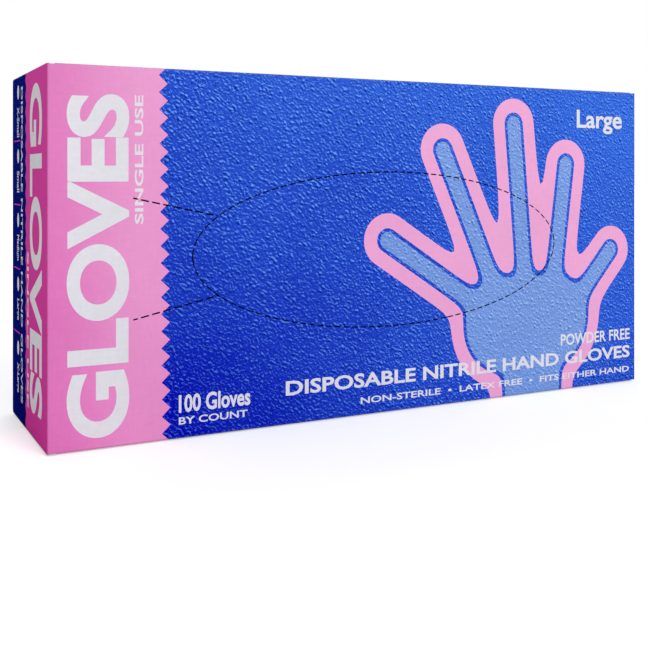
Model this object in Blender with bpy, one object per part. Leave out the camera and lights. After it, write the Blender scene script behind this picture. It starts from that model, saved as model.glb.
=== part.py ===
"""Dispenser carton of disposable gloves: a folded paperboard sleeve with a tear-out oval and a
thumb tab in its front panel, four flaps at each end, and a stack of interleaved gloves inside.

Units are metres. +Z is up, the front faces -Y, and X runs along the carton. The origin is the
middle of the carton's footprint. Folds are drawn as hinge lines: each flap is its own board piece.
"""

import math

import bmesh
import bpy
from mathutils import Matrix, Vector

# Carton, outside
WIDTH = 0.2410
HEIGHT = 0.1200
DEPTH = 0.0620
BOARD = 0.0005
GAP = 0.0003
GLUE_THICKNESS = 0.0002

# Oval tear-out panel and thumb tab, in the front panel
OVAL_HALF_WIDTH = 0.0754
OVAL_HALF_HEIGHT = 0.0278
OVAL_SHIFT = 0.0015
OVAL_DROP = 0.0011
OVAL_STEPS = 64
TAB_REACH = 0.0192
TAB_ROOT_HALF_HEIGHT = 0.0192
TAB_ARC_HALF_STEPS = 5

# End flaps
OUTER_FLAP_SHORTFALL = 0.0006
INNER_FLAP_LENGTH = 0.0310
DUST_FLAP_LENGTH = 0.0320
DUST_FLAP_SHOULDER = 0.0012
DUST_FLAP_BACK_TAPER = 0.0160
DUST_FLAP_FRONT_TAPER = 0.0140
GLUE_BEAD_WIDTH = 0.0050
GLUE_BEAD_END_INSET = 0.0190
GLUE_BEAD_INSETS = (0.0090, 0.0200)

# Glue flap along the back of the top panel
GLUE_FLAP_LENGTH = 0.0140
GLUE_FLAP_END_TAPER = 0.0060
SEAM_GLUE_WIDTH = 0.0060
SEAM_GLUE_END_INSET = 0.0200

# Gloves, in bundles of five laid flat on each other
BUNDLES = 20
HEAD_SPACE = 0.0130
GLOVE_END_CLEARANCE = 0.0022
GLOVE_HEADROOM = 0.0100
CUFF_NARROWING = 0.0120
CUFF_LENGTH = 0.0800
FINGER_LENGTHS = (0.0640, 0.0750, 0.0700, 0.0520)
FINGER_GAP = 0.0030
FINGERTIP_STEPS = 4

collection = None


def material(name, colour, roughness):
    """A Principled material with one colour and roughness."""
    made = bpy.data.materials.new(name)
    made.use_nodes = True
    shader = made.node_tree.nodes["Principled BSDF"]
    shader.inputs["Base Color"].default_value = (*colour, 1.0)
    shader.inputs["Roughness"].default_value = roughness
    shader.inputs["Metallic"].default_value = 0.0
    return made


def flat_mesh(name, outlines, thickness):
    """A plate in the XY plane, centred on Z, from a filled 2D curve; later outlines are holes."""
    curve = bpy.data.curves.new(name, "CURVE")
    curve.dimensions = "2D"
    curve.fill_mode = "BOTH"
    curve.extrude = thickness / 2
    for outline in outlines:
        spline = curve.splines.new("POLY")
        spline.points.add(len(outline) - 1)
        for point, (u, v) in zip(spline.points, outline):
            point.co = (u, v, 0.0, 1.0)
        spline.use_cyclic_u = True
    guide = bpy.data.objects.new(name + "_outline", curve)
    bpy.context.scene.collection.objects.link(guide)
    bpy.context.view_layer.update()
    evaluated = guide.evaluated_get(bpy.context.evaluated_depsgraph_get())
    mesh = bpy.data.meshes.new_from_object(evaluated)
    bpy.data.objects.remove(guide)
    bpy.data.curves.remove(curve)
    welded = bmesh.new()
    welded.from_mesh(mesh)
    bmesh.ops.remove_doubles(welded, verts=welded.verts, dist=0.00001)
    bmesh.ops.recalc_face_normals(welded, faces=welded.faces)
    welded.to_mesh(mesh)
    welded.free()
    mesh.name = name
    return mesh


# Each plane turns a plate's own (u, v, thickness) into (x, y, z)
PLANES = {
    "level": Matrix.Identity(4),
    "upright": Matrix(((1, 0, 0, 0), (0, 0, -1, 0), (0, 1, 0, 0), (0, 0, 0, 1))),
    "end": Matrix(((0, 0, 1, 0), (1, 0, 0, 0), (0, 1, 0, 0), (0, 0, 0, 1))),
}
NORMAL_AXIS = {"level": 2, "upright": 1, "end": 0}


def plate(name, plane, outlines, low, high, finish, origin=(0.0, 0.0, 0.0)):
    """A flat piece between two heights along its plane's normal, with its origin at a given point."""
    mesh = flat_mesh(name, outlines, high - low)
    middle = Vector((0.0, 0.0, 0.0))
    middle[NORMAL_AXIS[plane]] = (low + high) / 2
    mesh.transform(Matrix.Translation(middle - Vector(origin)) @ PLANES[plane])
    mesh.materials.clear()
    mesh.materials.append(finish)
    made = bpy.data.objects.new(name, mesh)
    made.location = origin
    collection.objects.link(made)
    return made


def rectangle(u_low, u_high, v_low, v_high):
    return [(u_low, v_low), (u_high, v_low), (u_high, v_high), (u_low, v_high)]


def oval_height():
    """The height of the oval's middle above the base."""
    return HEIGHT / 2 - OVAL_DROP


def oval(step, shrink=0.0):
    """A point on the oval tear line, counted round from its left end, moved inwards by shrink."""
    angle = math.pi + 2 * math.pi * step / OVAL_STEPS
    across = (OVAL_HALF_WIDTH - shrink) * math.cos(angle)
    up = (OVAL_HALF_HEIGHT - shrink) * math.sin(angle)
    return (OVAL_SHIFT + across, oval_height() + up)


def tab_hinge_x():
    return OVAL_SHIFT - OVAL_HALF_WIDTH - TAB_REACH


def opening_outline():
    """The hole in the front panel: the oval with the thumb tab's trapezoid at its left."""
    arc = [oval(step) for step in range(TAB_ARC_HALF_STEPS, OVAL_STEPS - TAB_ARC_HALF_STEPS + 1)]
    top = (tab_hinge_x(), oval_height() + TAB_ROOT_HALF_HEIGHT)
    bottom = (tab_hinge_x(), oval_height() - TAB_ROOT_HALF_HEIGHT)
    return arc + [top, bottom]


def tab_outline():
    """The thumb tab, clear of the panel on three sides and of the oval along its hollow edge."""
    arc = [oval(-step) for step in range(-TAB_ARC_HALF_STEPS, TAB_ARC_HALF_STEPS + 1)]
    arc[0] = (arc[0][0], arc[0][1] + GAP)
    arc[-1] = (arc[-1][0], arc[-1][1] - GAP)
    root_x = tab_hinge_x() + GAP
    half = TAB_ROOT_HALF_HEIGHT - GAP
    return arc + [(root_x, oval_height() + half), (root_x, oval_height() - half)]


def make_sleeve(board):
    """The four panels, and the flap that glues the top panel to the back panel."""
    inner_layer = BOARD + 2 * GAP + GLUE_THICKNESS
    back_end = WIDTH / 2 - inner_layer
    level_end = back_end - BOARD - GAP
    upright_low = BOARD + GAP
    upright_high = HEIGHT - BOARD - GAP
    front_outer = -DEPTH / 2
    back_outer = DEPTH / 2
    front = rectangle(-WIDTH / 2, WIDTH / 2, upright_low, upright_high)
    plate("front_panel", "upright", [front, opening_outline()], front_outer, front_outer + BOARD, board)
    back = rectangle(-back_end, back_end, upright_low, upright_high)
    plate("back_panel", "upright", [back], back_outer - BOARD, back_outer, board)
    level = rectangle(-level_end, level_end, front_outer, back_outer)
    plate("top_panel", "level", [level], HEIGHT - BOARD, HEIGHT, board)
    plate("bottom_panel", "level", [level], 0.0, BOARD, board)
    seam_face = back_outer - BOARD - 2 * GAP - GLUE_THICKNESS
    flap_low = upright_high - GLUE_FLAP_LENGTH
    flap_end = level_end - BOARD - GAP
    flap = [
        (-flap_end, upright_high),
        (-flap_end + GLUE_FLAP_END_TAPER, flap_low),
        (flap_end - GLUE_FLAP_END_TAPER, flap_low),
        (flap_end, upright_high),
    ]
    plate("glue_flap", "upright", [flap], seam_face - BOARD, seam_face, board)
    return level_end, back_end, seam_face


def make_seam_glue(glue, level_end, seam_face):
    """The strip of hot-melt glue between the glue flap and the back panel."""
    middle = HEIGHT - BOARD - GAP - GLUE_FLAP_LENGTH / 2
    end = level_end - SEAM_GLUE_END_INSET
    strip = rectangle(-end, end, middle - SEAM_GLUE_WIDTH / 2, middle + SEAM_GLUE_WIDTH / 2)
    plate("seam_glue", "upright", [strip], seam_face + GAP, seam_face + GAP + GLUE_THICKNESS, glue)


def make_tear_out(board):
    """The oval that tears out along its perforation, and the thumb tab beside it."""
    front_outer = -DEPTH / 2
    outline = [oval(step, GAP) for step in range(OVAL_STEPS)]
    middle = (OVAL_SHIFT, front_outer, oval_height())
    plate("tear_out_panel", "upright", [outline], front_outer, front_outer + BOARD, board, middle)
    hinge = (tab_hinge_x(), front_outer, oval_height())
    plate("thumb_tab", "upright", [tab_outline()], front_outer, front_outer + BOARD, board, hinge)


def end_plate(name, side, outlines, inner_x, outer_x, finish, origin):
    """A flap at one end: side is -1 for the left end and 1 for the right."""
    low, high = sorted((side * inner_x, side * outer_x))
    return plate(name, "end", outlines, low, high, finish, origin)


def make_end(prefix, side, board, glue, level_end, back_end):
    """One closed end: the outer flap on the front fold, the inner flap on the back fold, the two
    dust flaps on the top and bottom folds, and the two glue beads between outer and inner flap."""
    front_outer = -DEPTH / 2
    back_outer = DEPTH / 2
    clear = BOARD + GAP

    outline = rectangle(front_outer + clear, back_outer - OUTER_FLAP_SHORTFALL, GAP, HEIGHT - GAP)
    hinge = (side * WIDTH / 2, front_outer, HEIGHT / 2)
    name = prefix + "_outer_flap"
    end_plate(name, side, [outline], WIDTH / 2 - BOARD, WIDTH / 2, board, hinge)

    outline = rectangle(back_outer - INNER_FLAP_LENGTH, back_outer - clear, GAP, HEIGHT - GAP)
    hinge = (side * back_end, back_outer, HEIGHT / 2)
    name = prefix + "_inner_flap"
    end_plate(name, side, [outline], back_end - BOARD, back_end, board, hinge)

    for number, inset in enumerate(GLUE_BEAD_INSETS, 1):
        low_y = back_outer - inset - GLUE_BEAD_WIDTH / 2
        high_y = low_y + GLUE_BEAD_WIDTH
        bead = rectangle(low_y, high_y, GLUE_BEAD_END_INSET, HEIGHT - GLUE_BEAD_END_INSET)
        name = f"{prefix}_glue_bead_{number}"
        end_plate(name, side, [bead], back_end + GAP, back_end + GAP + GLUE_THICKNESS, glue, hinge)

    for place, fold_z, inwards in (("top", HEIGHT, -1), ("bottom", 0.0, 1)):
        root = fold_z + inwards * clear
        shoulder = root + inwards * DUST_FLAP_SHOULDER
        tip = fold_z + inwards * DUST_FLAP_LENGTH
        front_edge = front_outer + clear
        back_edge = back_outer - clear
        flap = [
            (front_edge, root),
            (front_edge, shoulder),
            (front_outer + DUST_FLAP_FRONT_TAPER, tip),
            (back_outer - DUST_FLAP_BACK_TAPER, tip),
            (back_edge, shoulder),
            (back_edge, root),
        ]
        hinge = (side * level_end, 0.0, fold_z)
        name = f"{prefix}_{place}_dust_flap"
        end_plate(name, side, [flap], level_end - BOARD, level_end, board, hinge)


def finger_outline(low, high, knuckle, tip):
    """One straight finger with a round tip, from its low side to its high side."""
    radius = (high - low) / 2
    centre = (low + high) / 2
    points = [(knuckle, low)]
    for step in range(FINGERTIP_STEPS + 1):
        angle = -math.pi / 2 + math.pi * step / FINGERTIP_STEPS
        points.append((tip - radius + radius * math.cos(angle), centre + radius * math.sin(angle)))
    return points + [(knuckle, high)]


def glove_outline(flip, half_length, palm_width):
    """A flat glove along X with its thumb tucked in: the cuff at -X, or at +X when flip is -1."""
    knuckles = half_length - max(FINGER_LENGTHS)
    wrist = -half_length + CUFF_LENGTH
    half_cuff = (palm_width - CUFF_NARROWING) / 2
    pitch = palm_width / len(FINGER_LENGTHS)
    points = [(-half_length, -half_cuff), (wrist, -half_cuff)]
    for number, length in enumerate(FINGER_LENGTHS):
        low = -palm_width / 2 + number * pitch + FINGER_GAP / 2
        points += finger_outline(low, low + pitch - FINGER_GAP, knuckles, knuckles + length)
    points += [(wrist, half_cuff), (-half_length, half_cuff)]
    middle_z = BOARD + GAP + palm_width / 2
    return [(flip * u, middle_z + v) for u, v in points]


def make_gloves(nitrile, level_end, seam_face):
    """Bundles of five interleaved gloves, standing on edge from the back of the carton forwards."""
    half_length = level_end - BOARD - GLOVE_END_CLEARANCE
    palm_width = HEIGHT - 2 * (BOARD + GAP) - GLOVE_HEADROOM
    back_face = seam_face - BOARD - GAP
    front_face = -DEPTH / 2 + BOARD + HEAD_SPACE
    pitch = (back_face - front_face) / BUNDLES
    for number in range(BUNDLES):
        high = back_face - number * pitch
        low = high - pitch + GAP
        outline = glove_outline(-1 if number % 2 else 1, half_length, palm_width)
        plate(f"glove_bundle_{number + 1:02d}", "upright", [outline], low, high, nitrile)


def main():
    global collection
    for old in list(bpy.data.objects):
        bpy.data.objects.remove(old)
    collection = bpy.data.collections.new("glove_dispenser_carton")
    bpy.context.scene.collection.children.link(collection)
    board = material("printed_board", (0.03, 0.10, 0.62), 0.45)
    glue = material("hot_melt_glue", (0.78, 0.70, 0.50), 0.35)
    nitrile = material("nitrile", (0.07, 0.03, 0.42), 0.50)
    level_end, back_end, seam_face = make_sleeve(board)
    make_seam_glue(glue, level_end, seam_face)
    make_tear_out(board)
    make_end("left", -1, board, glue, level_end, back_end)
    make_end("right", 1, board, glue, level_end, back_end)
    make_gloves(nitrile, level_end, seam_face)


main()
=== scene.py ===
"""Looks for a paperboard carton of disposable gloves: printed board panels with creases that bend,
a perforated oval with real slits and ties, and a stack of interleaved gloves.

Flat shapes are worked out in millimetres in each panel's own (u, v) plane, as a viewer facing its
printed side sees it, and a place function then folds them into the frame, which is in metres.
"""

import math

import bmesh
import bpy
import numpy as np
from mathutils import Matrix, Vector, noise
from mathutils.geometry import delaunay_2d_cdt


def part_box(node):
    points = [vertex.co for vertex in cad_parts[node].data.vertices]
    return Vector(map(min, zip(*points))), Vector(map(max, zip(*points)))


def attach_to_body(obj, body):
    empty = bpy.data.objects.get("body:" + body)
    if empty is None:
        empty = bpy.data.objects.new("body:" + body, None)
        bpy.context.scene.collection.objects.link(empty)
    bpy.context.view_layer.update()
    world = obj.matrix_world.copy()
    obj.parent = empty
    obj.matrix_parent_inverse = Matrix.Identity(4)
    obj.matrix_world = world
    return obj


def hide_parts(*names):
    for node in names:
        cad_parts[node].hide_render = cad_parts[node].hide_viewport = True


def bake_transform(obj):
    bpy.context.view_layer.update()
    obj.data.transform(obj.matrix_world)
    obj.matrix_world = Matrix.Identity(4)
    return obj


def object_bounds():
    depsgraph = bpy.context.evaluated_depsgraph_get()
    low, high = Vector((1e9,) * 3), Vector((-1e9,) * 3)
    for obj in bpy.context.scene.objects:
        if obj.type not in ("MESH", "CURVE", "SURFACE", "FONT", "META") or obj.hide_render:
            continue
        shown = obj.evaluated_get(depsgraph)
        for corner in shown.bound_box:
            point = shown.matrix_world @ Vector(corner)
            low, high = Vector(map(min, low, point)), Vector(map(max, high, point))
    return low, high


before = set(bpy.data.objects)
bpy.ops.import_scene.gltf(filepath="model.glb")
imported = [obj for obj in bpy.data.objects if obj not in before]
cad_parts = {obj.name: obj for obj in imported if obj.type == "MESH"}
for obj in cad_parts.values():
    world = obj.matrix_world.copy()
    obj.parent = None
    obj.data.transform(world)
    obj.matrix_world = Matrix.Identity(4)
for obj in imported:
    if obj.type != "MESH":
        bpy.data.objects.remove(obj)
cad_low, cad_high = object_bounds()

# ---------------------------------------------------------------- sizes, in millimetres
MM = 0.001


def node_box(node):
    """A CAD node's lowest and highest corners, in millimetres."""
    return [np.array(corner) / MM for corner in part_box(node)]


WIDTH = (cad_high.x - cad_low.x) / MM
DEPTH = (cad_high.y - cad_low.y) / MM
HEIGHT = (cad_high.z - cad_low.z) / MM
HALF_WIDTH = WIDTH / 2
HALF_DEPTH = DEPTH / 2
front_low, front_high = node_box("front_panel")
BOARD = front_high[1] - front_low[1]
CAD_GAP = front_low[2] - BOARD
BACK_END = node_box("back_panel")[1][0]
LEVEL_END = node_box("top_panel")[1][0]
SEAM_FACE = node_box("glue_flap")[1][1]
oval_low, oval_high = node_box("tear_out_panel")
OVAL_ACROSS = (oval_high[0] - oval_low[0]) / 2 + CAD_GAP
OVAL_UP = (oval_high[2] - oval_low[2]) / 2 + CAD_GAP
OVAL_MIDDLE = (oval_high[2] + oval_low[2]) / 2
OVAL_SHIFT = (oval_high[0] + oval_low[0]) / 2
tab_low, tab_high = node_box("thumb_tab")
TAB_ROOT = tab_low[0] - CAD_GAP
TAB_HALF_HEIGHT = (tab_high[2] - tab_low[2]) / 2 + CAD_GAP

CREASE = 0.7  # the outer radius of every fold
CREASE_LENGTH = CREASE * math.pi / 2
CREASE_STEPS = 8
CREASE_REACH = CREASE + 0.5  # how far a panel wraps round its folds
SIDE_END = HALF_WIDTH - CREASE
BACK_SIDE_END = BACK_END - CREASE
LEVEL_SIDE_END = LEVEL_END - CREASE
FLAP_LOW = 0.15
FLAP_HIGH = HEIGHT - FLAP_LOW
DUST_REACH = 29.6
BLEED = 1.6  # how far the print runs past a fold
BOW = 0.35
SLIT = 0.5
HALF_SLIT = SLIT / 2
OVAL_STEPS = 192
TAB_ARC_STEPS = 15
STRIP_LOW = TAB_ROOT - 0.6
STRIP_HIGH = TAB_ROOT + 0.6
CORNER_STEPS = 5
OUTER_CORNER = 1.4
INNER_CORNER = 6.0
DUST_CORNER = 4.0
DUST_SHOULDER = 0.8
GLUE_CORNER = 2.0
LARGE_LETTERS = 8.0
GRID = 10.0  # the spacing of the extra points on a large panel
FLAP_GRID = 14.0
STRIP_GRID = 16.0


def new_object(name, data):
    """An object at the origin, linked to the scene."""
    made = bpy.data.objects.new(name, data)
    bpy.context.scene.collection.objects.link(made)
    return made


def evaluated_mesh(guide):
    """The plain mesh that a guide object makes. The guide is removed."""
    graph = bpy.context.evaluated_depsgraph_get()
    mesh = bpy.data.meshes.new_from_object(guide.evaluated_get(graph))
    bpy.data.objects.remove(guide)
    return mesh


def one_sided(faces):
    """The directed edges that only one of some faces has: the rim of an open surface."""
    rim = {}
    for face in faces:
        for start, end in zip(face, [*face[1:], face[0]]):
            if rim.pop((end, start), None) is None:
                rim[(start, end)] = True
    return list(rim)


# ---------------------------------------------------------------- flat outlines
def closed(points):
    """The edges of a closed outline, one row of x0, y0, x1, y1 each."""
    loop = np.array(points, float)
    return np.hstack([loop, np.roll(loop, -1, axis=0)])


def line(start, end):
    return np.array([[*start, *end]], float)


def rectangle(u_low, u_high, v_low, v_high):
    return closed([(u_low, v_low), (u_high, v_low), (u_high, v_high), (u_low, v_high)])


def rounded(corners):
    """A closed outline whose corners, given as (u, v, radius), are turned counter-clockwise."""
    points = []
    count = len(corners)
    for i, (u, v, radius) in enumerate(corners):
        here = Vector((u, v))
        before = (Vector(corners[i - 1][:2]) - here).normalized()
        after = (Vector(corners[(i + 1) % count][:2]) - here).normalized()
        if radius <= 0:
            points.append((u, v))
            continue
        half = before.angle(after) / 2
        centre = here + (before + after).normalized() * (radius / math.sin(half))
        start = here + before * (radius / math.tan(half)) - centre
        end = here + after * (radius / math.tan(half)) - centre
        for step in range(CORNER_STEPS + 1):
            spoke = start.slerp(end, step / CORNER_STEPS, start).normalized() * radius
            points.append(tuple(centre + spoke))
    return closed(points)


def ellipse(u, v, half_u, half_v):
    angles = np.linspace(0, 2 * math.pi, 28, endpoint=False)
    return closed(np.column_stack([u + half_u * np.cos(angles), v + half_v * np.sin(angles)]))


def oval_point(step, shrink=0.0):
    """A point on the tear line, counted counter-clockwise from the oval's left end."""
    angle = math.pi + 2 * math.pi * step / OVAL_STEPS
    across = (OVAL_ACROSS - shrink) * math.cos(angle)
    up = (OVAL_UP - shrink) * math.sin(angle)
    return (OVAL_SHIFT + across, OVAL_MIDDLE + up)


def contour(field, u_low, u_high, v_low, v_high, step):
    """The edges where a field of (u, v) crosses zero, by marching over a grid."""
    us = np.arange(u_low, u_high + step, step)
    vs = np.arange(v_low, v_high + step, step)
    value = field(*np.meshgrid(us, vs, indexing="ij"))
    edges = []
    corners = ((0, 0), (1, 0), (1, 1), (0, 1))
    mixed = np.abs(
        sum(np.sign(value[a : len(us) - 1 + a, b : len(vs) - 1 + b]) for a, b in corners)
    )
    for i, j in zip(*np.where(mixed < 4)):
        crossings = []
        for k in range(4):
            (a0, b0), (a1, b1) = corners[k], corners[(k + 1) % 4]
            low, high = value[i + a0, j + b0], value[i + a1, j + b1]
            if (low < 0) == (high < 0):
                continue
            share = low / (low - high)
            crossings.append(
                (us[i + a0] + share * step * (a1 - a0), vs[j + b0] + share * step * (b1 - b0))
            )
        for k in range(0, len(crossings) - 1, 2):
            edges.append([*crossings[k], *crossings[k + 1]])
    return np.array(edges)


def inside(edges, points):
    """Which points lie inside a set of closed edges, by the even-odd rule."""
    found = np.zeros(len(points), bool)
    low = np.minimum(edges[:, :2], edges[:, 2:]).min(0)
    high = np.maximum(edges[:, :2], edges[:, 2:]).max(0)
    near = np.where(((points >= low) & (points <= high)).all(1))[0]
    for part in np.array_split(near, max(1, len(near) // 4000)):
        u, v = points[part, 0][:, None], points[part, 1][:, None]
        u0, v0, u1, v1 = edges.T
        spans = (v0 > v) != (v1 > v)
        rise = np.where(v1 == v0, 1.0, v1 - v0)
        crossing = spans & (u < u0 + (v - v0) * (u1 - u0) / rise)
        found[part] = crossing.sum(1) % 2 == 1
    return found


# ---------------------------------------------------------------- cutting board
def triangulate(edge_sets, spacing, area):
    """A flat triangle mesh over a box that keeps every given edge, with a grid of extra points."""
    u_low, u_high, v_low, v_high = area
    index, points, edges = {}, [], []

    def number(u, v):
        key = (round(u, 4), round(v, 4))
        if key not in index:
            index[key] = len(points)
            points.append(Vector(key))
        return index[key]

    for rows in edge_sets:
        for u0, v0, u1, v1 in rows:
            a, b = number(u0, v0), number(u1, v1)
            if a != b:
                edges.append((a, b))
    if spacing:
        for u in np.linspace(u_low, u_high, max(2, round((u_high - u_low) / spacing) + 1)):
            for v in np.linspace(v_low, v_high, max(2, round((v_high - v_low) / spacing) + 1)):
                number(u, v)
    verts, _, faces, *_ = delaunay_2d_cdt(points, edges, [], 0, 1e-5)
    verts = np.array([tuple(p) for p in verts])
    tris = np.array([f for f in faces if len(f) == 3])
    a, b, c = (verts[tris[:, k]] for k in range(3))
    turn = (b[:, 0] - a[:, 0]) * (c[:, 1] - a[:, 1]) - (b[:, 1] - a[:, 1]) * (c[:, 0] - a[:, 0])
    tris = np.where(turn[:, None] < 0, tris[:, ::-1], tris)
    return verts, tris[np.abs(turn) > 1e-9]


def new_piece(name, points, faces, finishes, finish_of, smooth_angle=30):
    """A mesh object from points in millimetres, with a finish for each face."""
    mesh = bpy.data.meshes.new(name)
    mesh.from_pydata((np.array(points) * MM).tolist(), [], [list(map(int, f)) for f in faces])
    for finish in finishes:
        mesh.materials.append(MATERIALS[finish])
    mesh.polygons.foreach_set("material_index", np.array(finish_of, np.int32))
    mesh.update()
    mesh.shade_smooth()
    if smooth_angle:
        mesh.set_sharp_from_angle(angle=math.radians(smooth_angle))
    return new_object(name, mesh)


def layered(base, layers, middles):
    """The finishes that a printed piece has, and which of them each face shows by its middle."""
    names = [base]
    finish = np.zeros(len(middles), int)
    for edges, layer in layers:
        if layer not in names:
            names.append(layer)
        finish[inside(edges, middles)] = names.index(layer)
    return names, finish


def board_piece(name, outline, place, base, layers=(), spacing=GRID, lines=(), cut=False):
    """A piece of board cut to an outline. base is its printed finish, layers are (edges, finish)
    pairs printed over it in order, and lines are extra edges where it folds. cut says that the
    edges inside the panel are perforated, and so the walls of their slits take a painted shade,
    nearly black."""
    points = outline.reshape(-1, 2)
    (u_low, v_low), (u_high, v_high) = points.min(0), points.max(0)
    edge_sets = [outline, *(edges for edges, _ in layers), *lines]
    verts, tris = triangulate(edge_sets, spacing, (u_low, u_high, v_low, v_high))
    middles = verts[tris].mean(1)
    kept = inside(outline, middles)
    tris, middles = tris[kept], middles[kept]
    names, finish = layered(base, layers, middles)
    used, tris = np.unique(tris, return_inverse=True)
    tris = tris.reshape(-1, 3)
    verts = verts[used]
    count = len(verts)
    walls = [(end, start, start + count, end + count) for start, end in one_sided(tris.tolist())]
    faces = [*tris.tolist(), *(tris[:, ::-1] + count).tolist(), *walls]
    finish_of = [*finish, *[len(names)] * len(tris)]
    for wall in walls:
        u, v = verts[wall[0]]
        # Walls inside a cut panel are its slits: they take the painted shade, and the rest take the
        # board edge.
        slit_shade_wall = cut and abs(u) < LEVEL_SIDE_END - 1 and 1 < v < HEIGHT - 1
        finish_of.append(len(names) + (2 if slit_shade_wall else 1))
    both = np.vstack([place(verts, 0.0), place(verts, BOARD)])
    names += ["board_back", "board_edge", "slit_wall_painted_shade"]
    return new_piece(name, both, faces, names, finish_of)


def flat_outline(node):
    """The outline of a CAD plate's thin-axis face, in its two other coordinates, as a loop."""
    low, high = node_box(node)
    thin = int(np.argmin(high - low))
    flat = [axis for axis in range(3) if axis != thin]
    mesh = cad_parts[node].data
    place = np.array([v.co for v in mesh.vertices]) / MM
    faces = []
    for polygon in mesh.polygons:
        corners = [place[v] for v in polygon.vertices]
        if all(abs(corner[thin] - low[thin]) < 0.01 for corner in corners):
            faces.append([tuple(np.round(corner[flat], 3)) for corner in corners])
    after = dict(one_sided(faces))
    loop = [next(iter(after))]
    while after[loop[-1]] != loop[0]:
        loop.append(after[loop[-1]])
    return loop


# ---------------------------------------------------------------- folding the blank
def folded(v, low=None, high=None):
    """Folds a length v at rounded creases whose outer corners are at low and high. Returns the
    place along the panel, how far in from its face, and the outward normal's two parts."""
    along, sink = v.copy(), np.zeros_like(v)
    normal_along, normal_out = np.zeros_like(v), np.ones_like(v)
    for corner, way in ((low, -1), (high, 1)):
        if corner is None:
            continue
        past = (v - corner) * way + CREASE
        turned = np.clip(past / (2 * CREASE), 0, 1) * math.pi / 2
        bent = past > 0
        beyond = np.maximum(past - 2 * CREASE, 0)
        along = np.where(bent, corner + way * CREASE * (np.sin(turned) - 1), along)
        sink = np.where(bent, CREASE * (1 - np.cos(turned)) + beyond, sink)
        normal_along = np.where(bent, way * np.sin(turned), normal_along)
        normal_out = np.where(bent, np.cos(turned), normal_out)
    return along, sink, normal_along, normal_out


def bowed(u, v):
    """How far a large panel bows outwards at a point, in its own plane."""
    across = np.clip(1 - (u / HALF_WIDTH) ** 2, 0, 1)
    up = np.clip(1 - (2 * v / HEIGHT - 1) ** 2, 0, 1)
    return BOW * across * up


def front_place(points, depth):
    u, v = points.T
    along, sink, normal_along, normal_out = folded(v, 0.0, HEIGHT)
    y = -HALF_DEPTH + sink - bowed(u, v) + depth * normal_out
    return np.column_stack([u, y, along - depth * normal_along])


def back_place(points, depth):
    u, v = points.T
    along, sink, normal_along, normal_out = folded(v, 0.0)
    y = HALF_DEPTH - sink + bowed(u, v) - depth * normal_out
    return np.column_stack([-u, y, along - depth * normal_along])


def top_place(points, depth):
    u, v = points.T
    along, sink, normal_along, normal_out = folded(v, high=SEAM_FACE)
    return np.column_stack([u, along - depth * normal_along, HEIGHT - sink - depth * normal_out])


def bottom_place(points, depth):
    u, v = points.T
    return np.column_stack([u, -v, np.full_like(u, depth)])


def end_place(side, face):
    """Places a flap at an end: side -1 is the left. face is its printed face's distance from the
    middle of the carton."""

    def place(points, depth):
        u, v = points.T
        return np.column_stack([np.full_like(u, side * (face - depth)), side * u, v])

    return place


def corner_place(centre, before, after, along):
    """Places a crease: u goes round the corner from the face whose normal is before to the one
    whose normal is after, and v goes along it."""
    centre, before, after, along = (np.array(v, float) for v in (centre, before, after, along))

    def place(points, depth):
        angle = points[:, :1] / CREASE_LENGTH * math.pi / 2
        out = np.cos(angle) * before + np.sin(angle) * after
        return centre + out * (CREASE - depth) + points[:, 1:] * along

    return place


def bend_lines(u_low, u_high, v_low, v_high):
    """The lines along an upright strip that let it bend."""
    stops = np.linspace(u_low, u_high, CREASE_STEPS + 1)[1:-1]
    return [line((u, v_low), (u, v_high)) for u in stops]


def fold_lines(*corners):
    """The lines that let a panel turn round creases whose outer corners are at those heights."""
    return [
        line((-LEVEL_SIDE_END, v), (LEVEL_SIDE_END, v))
        for corner in corners
        for v in np.linspace(corner - CREASE, corner + CREASE, CREASE_STEPS + 1)
    ]


# ---------------------------------------------------------------- materials
def add(tree, kind, inputs=None, **settings):
    """Adds a node with its settings, and with inputs, by name or number, set or joined."""
    node = tree.nodes.new(kind)
    for name, value in settings.items():
        setattr(node, name, value)
    for key, value in (inputs or {}).items():
        if isinstance(value, bpy.types.NodeSocket):
            tree.links.new(value, node.inputs[key])
        else:
            node.inputs[key].default_value = value
    return node


def object_place(tree):
    return add(tree, "ShaderNodeTexCoord").outputs["Object"]


def noise_at(tree, where, scale, detail, **others):
    """Noise from 0 to 1."""
    inputs = {"Vector": where, "Scale": scale, "Detail": detail, **others}
    return add(tree, "ShaderNodeTexNoise", inputs).outputs[0]


def vector_node(tree, operation, a, b=(0.0, 0.0, 0.0)):
    return add(tree, "ShaderNodeVectorMath", {0: a, 1: b}, operation=operation).outputs[0]


def math_node(tree, operation, a, b=0.0, clamp=False):
    settings = {"operation": operation, "use_clamp": clamp}
    return add(tree, "ShaderNodeMath", {0: a, 1: b}, **settings).outputs[0]


def remap(tree, value, low, high, to_low=0.0, to_high=1.0):
    """Maps a value from low..high to to_low..to_high, smoothly and clamped."""
    inputs = {"Value": value, 1: low, 2: high, 3: to_low, 4: to_high}
    return add(tree, "ShaderNodeMapRange", inputs, interpolation_type="SMOOTHSTEP").outputs[0]


def mix_colour(tree, share, a, b, blend="MIX"):
    node = add(tree, "ShaderNodeMix", {0: share, 6: a, 7: b}, data_type="RGBA", blend_type=blend)
    return node.outputs[2]


def new_group(name, kind, inputs, outputs):
    """A node group with named sockets. Returns the group, its input node and its output node."""
    group = bpy.data.node_groups.new(name, kind)
    for title, socket_kind, value in inputs:
        socket = group.interface.new_socket(title, in_out="INPUT", socket_type=socket_kind)
        if value is not None:
            socket.default_value = value
    for title, socket_kind in outputs:
        group.interface.new_socket(title, in_out="OUTPUT", socket_type=socket_kind)
    return group, group.nodes.new("NodeGroupInput"), group.nodes.new("NodeGroupOutput")


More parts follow.
